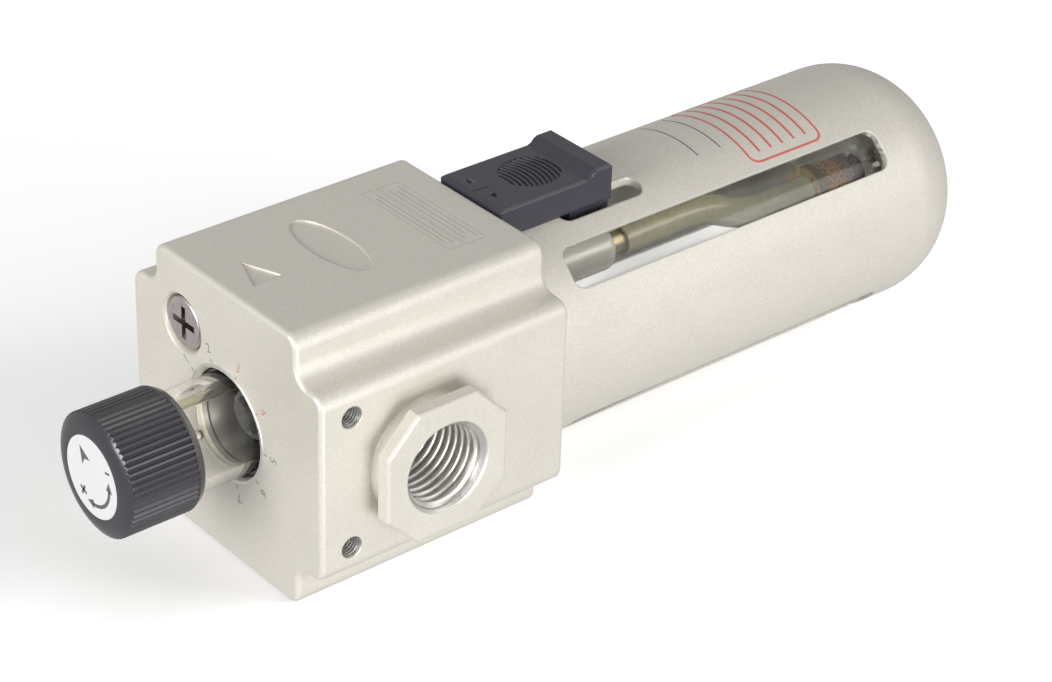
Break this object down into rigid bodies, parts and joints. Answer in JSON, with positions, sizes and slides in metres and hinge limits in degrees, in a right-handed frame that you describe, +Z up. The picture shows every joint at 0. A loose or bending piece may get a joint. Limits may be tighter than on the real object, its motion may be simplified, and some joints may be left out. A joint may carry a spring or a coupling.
{
  "type": "air line lubricator",
  "caption": "Compressed-air oil mist lubricator: square body with threaded ports, sight dome, metering knob and a guarded clear bowl.",
  "frame": {"origin": "on the axis of the inlet port, where its thread begins, 1.1 mm inside the mouth", "axes": "+Z up along the bowl towards the metering knob, +X along the flow from the inlet to the outlet, -Y towards the lock button"},
  "size_m": [0.0525, 0.0439, 0.1511],
  "materials": {
    "body_paint": "champagne silver metallic paint",
    "guard_paint": "champagne silver metallic paint, coarser",
    "button_plastic": "moulded black",
    "knob_plastic": "moulded black, fine ribs",
    "label_white": "white disc with dark marks",
    "clear_plastic": "clear, slightly smoky",
    "nylon": "translucent off-white",
    "tube_olive": "translucent olive",
    "dark_plastic": "moulded dark grey",
    "seal_rubber": "black rubber",
    "brass": "turned brass",
    "bronze": "sintered bronze, rough",
    "steel": "plated steel",
    "spring_steel": "spring steel"
  },
  "bodies": {
    "root": {"body": "body_paint", "flow_guide": "dark_plastic", "flow_damper": "seal_rubber", "sight_dome": "clear_plastic", "dome_ring": "seal_rubber", "sight_floor": "dark_plastic", "feed_tube": "nylon", "drip_nozzle": "steel", "siphon_holder": "nylon", "holder_screws": "steel", "siphon_spigot": "brass", "siphon_tube": "tube_olive", "filter_ring": "brass", "suction_filter": "bronze", "bowl": "clear_plastic", "bowl_ring": "seal_rubber", "bowl_guard": "guard_paint", "lock_spring": "spring_steel"},
    "knob": {"adjusting_knob": "knob_plastic", "knob_label": "label_white", "needle_spindle": "brass", "spindle_ring": "seal_rubber"},
    "button": {"lock_button": "button_plastic"},
    "plug_seal": {"fill_plug_ring": "seal_rubber"},
    "plug": {"fill_plug": "steel"},
    "ball": {"check_ball": "steel"}
  },
  "joints": [
    {"name": "knob_turn", "type": "hinge", "parent": "root", "child": "knob", "pos_m": [0.02514, 0, 0.0272], "axis": [0, 0, 1], "range_deg": [-185, 37]},
    {"name": "lock_slide", "type": "slide", "parent": "root", "child": "button", "axis": [0, 0, -1], "range_m": [0, 0.0045], "stiffness_N_per_m": 400, "springref_m": -0.004, "deforming": ["lock_spring"]},
    {"name": "plug_lift", "type": "slide", "parent": "root", "child": "plug_seal", "axis": [0, 0, 1], "range_m": [0, 0.007]},
    {"name": "plug_turn", "type": "hinge", "parent": "plug_seal", "child": "plug", "pos_m": [0.03494, -0.011, 0.0172], "axis": [0, 0, 1], "range_deg": [0, 2524]},
    {"name": "ball_lift", "type": "slide", "parent": "root", "child": "ball", "axis": [0, 0, 1], "range_m": [0, 0.0006]}
  ],
  "couplings": [
    {"joint": "plug_turn", "follows": "plug_lift", "rad_per_m": 6283.2}
  ]
}
